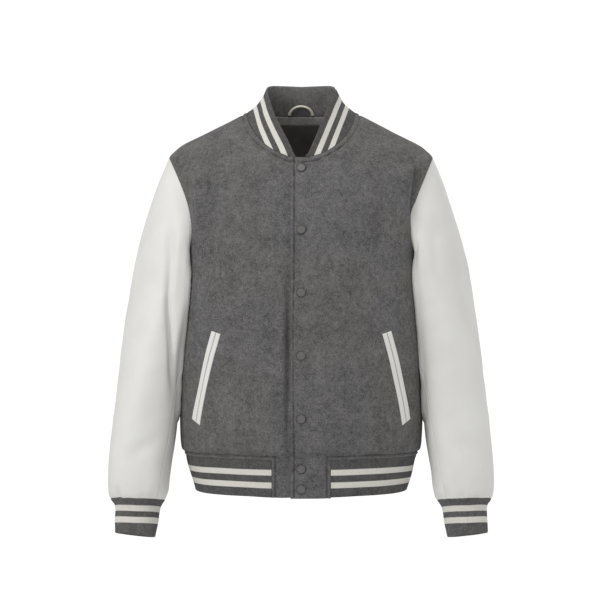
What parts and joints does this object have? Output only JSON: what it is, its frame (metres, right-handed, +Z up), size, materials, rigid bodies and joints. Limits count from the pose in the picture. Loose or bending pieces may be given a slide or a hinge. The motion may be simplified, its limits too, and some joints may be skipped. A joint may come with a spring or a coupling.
{
  "type": "varsity jacket",
  "caption": "Hollow varsity jacket in worn shape: grey wool body with lapped snap front, off-white sleeves and welt pockets, striped rib collar, cuffs and hem.",
  "frame": {"origin": "midway between the two points where the shoulder seams meet the collar, where shoulders hold the jacket up", "axes": "+X towards the wearer's left, -Y out of the front, +Z up towards the collar"},
  "size_m": [0.6672, 0.2747, 0.7933],
  "materials": {
    "wool": "mottled grey melton wool, matt, slightly fuzzy",
    "leather": "smooth off-white leather, low sheen",
    "rib": "dark grey fine rib knit with off-white stripes",
    "snap": "grey enamelled snap cap, satin",
    "lining": "near-black satin lining",
    "cord": "off-white covered cord"
  },
  "bodies": {
    "root": {"front_left": "wool", "front_right": "wool", "back": "wool", "neck_facing": "wool", "back_lining": "lining", "top_sleeve_left": "leather", "under_sleeve_left": "leather", "top_sleeve_right": "leather", "under_sleeve_right": "leather", "pocket_left_front_lip": "leather", "pocket_left_rear_lip": "leather", "pocket_right_front_lip": "leather", "pocket_right_rear_lip": "leather", "collar": "rib", "cuff_left": "rib", "cuff_right": "rib", "hem_rib": "rib", "snap_1": "snap", "snap_2": "snap", "snap_3": "snap", "snap_4": "snap", "snap_5": "snap", "snap_6": "snap", "snap_7": "snap", "hanger_loop": "cord"}
  },
  "joints": []
}
